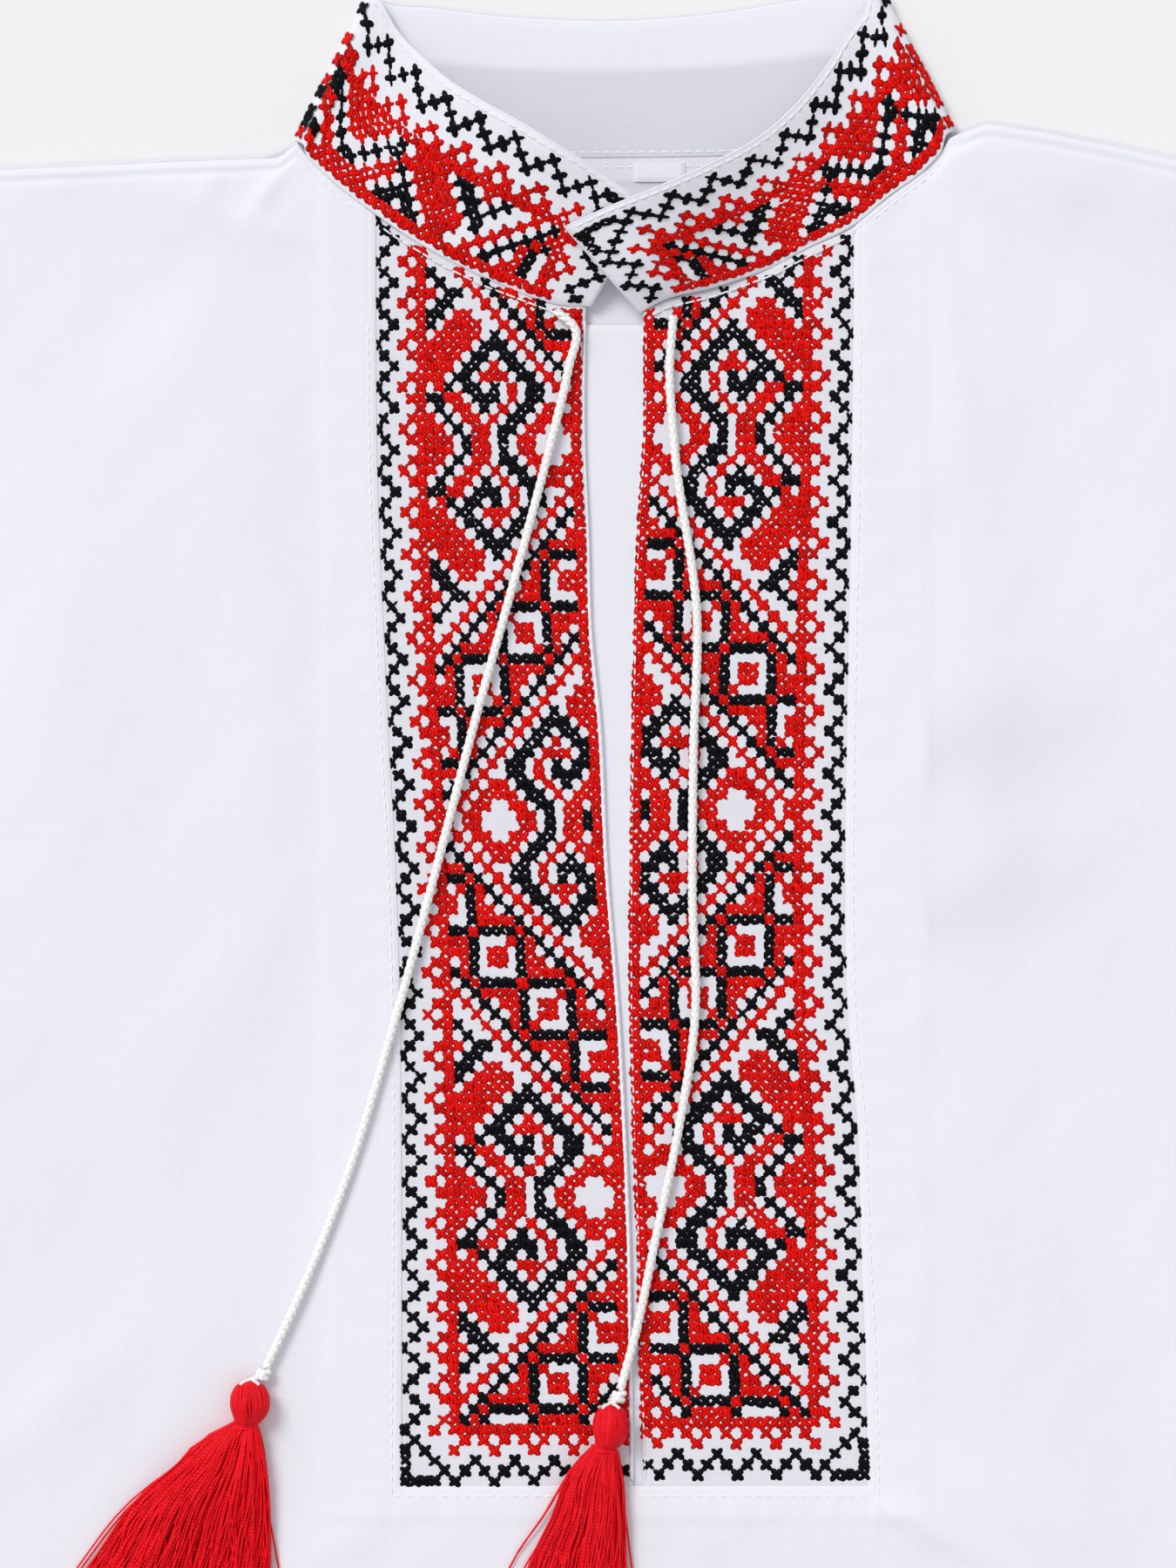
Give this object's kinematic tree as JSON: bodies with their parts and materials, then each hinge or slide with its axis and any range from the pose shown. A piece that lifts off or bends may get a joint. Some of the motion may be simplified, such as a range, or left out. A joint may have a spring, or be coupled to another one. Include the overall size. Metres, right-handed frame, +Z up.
{
  "type": "embroidered shirt",
  "caption": "White long-sleeved shirt laid flat, with a cross-stitched stand collar and chest insert, an open neck slit and free cords ending in tassels.",
  "frame": {"origin": "centre of the base of the bounding box, on the surface that the shirt is laid on", "axes": "+Z up from the surface, +Y from the hem to the collar, +X to the right when one looks down at the shirt"},
  "size_m": [1.3998, 0.7808, 0.0203],
  "materials": {
    "white_cloth": "plain weave, matt",
    "embroidered_cloth": "cross-stitched in red and black thread",
    "cord": "twisted cord",
    "tassel": "glossy thread"
  },
  "bodies": {
    "root": {"back": "white_cloth", "front": "white_cloth", "sleeve_left": "white_cloth", "sleeve_right": "white_cloth", "underlap": "white_cloth", "neck_tape": "white_cloth", "plastron_left": "embroidered_cloth", "plastron_right": "embroidered_cloth", "collar": "embroidered_cloth", "cord_left": "cord", "cord_right": "cord", "knot_left": "cord", "knot_right": "cord", "tassel_left": "tassel", "tassel_right": "tassel"}
  },
  "joints": []
}
